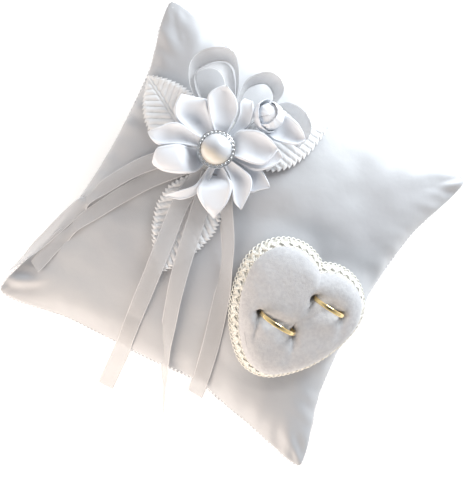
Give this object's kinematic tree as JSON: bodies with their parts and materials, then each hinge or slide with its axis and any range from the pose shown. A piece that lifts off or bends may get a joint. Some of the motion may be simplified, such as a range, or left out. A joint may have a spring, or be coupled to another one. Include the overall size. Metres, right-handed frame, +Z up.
{
  "type": "ring bearer pillow",
  "caption": "Square satin ring bearer pillow with a satin flower and ribbon spray, and a heart-shaped velvet cushion that holds wedding rings in slits.",
  "frame": {"origin": "middle of the flat face under the pillow, on the surface that it rests on", "axes": "+X along the pillow bottom edge towards the heart cushion, +Y across the pillow towards the flower, +Z up"},
  "size_m": [0.2148, 0.2192, 0.0806],
  "materials": {
    "satin": "satin",
    "petal_satin": "satin",
    "leaf_fabric": "satin",
    "organza": "satin",
    "velvet": "matte",
    "braid": "satin",
    "felt": "matte",
    "thread": "matte",
    "filling": "matte",
    "foam": "matte",
    "card": "matte",
    "gold": "polished",
    "silver": "polished",
    "pearl": "gloss"
  },
  "bodies": {
    "pillow": {"binding_thread": "thread", "closing_stitches": "thread", "corsage_backing": "felt", "corsage_core": "organza", "heart_base_board": "card", "heart_foam": "foam", "heart_trim_braid": "braid", "heart_velvet_cover": "velvet", "leaf_left": "leaf_fabric", "leaf_lower": "leaf_fabric", "leaf_right": "leaf_fabric", "pearl": "pearl", "pearl_setting": "silver", "pearl_shank": "silver", "petal_bottom": "petal_satin", "petal_bottom_right": "petal_satin", "petal_left": "petal_satin", "petal_lower_left": "petal_satin", "petal_lower_right": "petal_satin", "petal_right": "petal_satin", "petal_right_under": "petal_satin", "petal_top": "petal_satin", "petal_top_left": "petal_satin", "petal_upper_left": "petal_satin", "pillow_cover_bottom": "satin", "pillow_cover_top": "satin", "pillow_filling": "filling", "ribbon_loop_left": "organza", "ribbon_loop_left_inner": "organza", "ribbon_loop_right": "organza", "ribbon_loop_top": "organza", "ribbon_tail_left_lower": "organza", "ribbon_tail_left_upper": "organza", "ribbon_tail_middle": "organza", "ribbon_tail_middle_left": "organza", "ribbon_tail_right": "organza", "rim_beads": "silver", "rosebud_core": "petal_satin", "rosebud_inner_wrap": "petal_satin", "rosebud_outer_wrap": "petal_satin", "seam_thread": "thread"},
    "ring_left": {"ring_left": "gold"},
    "ring_right": {"ring_right": "gold"}
  },
  "joints": [
    {"name": "ring_left_lift", "type": "slide", "parent": "pillow", "child": "ring_left", "axis": [0.2413, -0.0698, 0.9679], "range_m": [0, 0.02]},
    {"name": "ring_right_lift", "type": "slide", "parent": "pillow", "child": "ring_right", "axis": [0.2413, -0.0698, 0.9679], "range_m": [0, 0.02]}
  ]
}
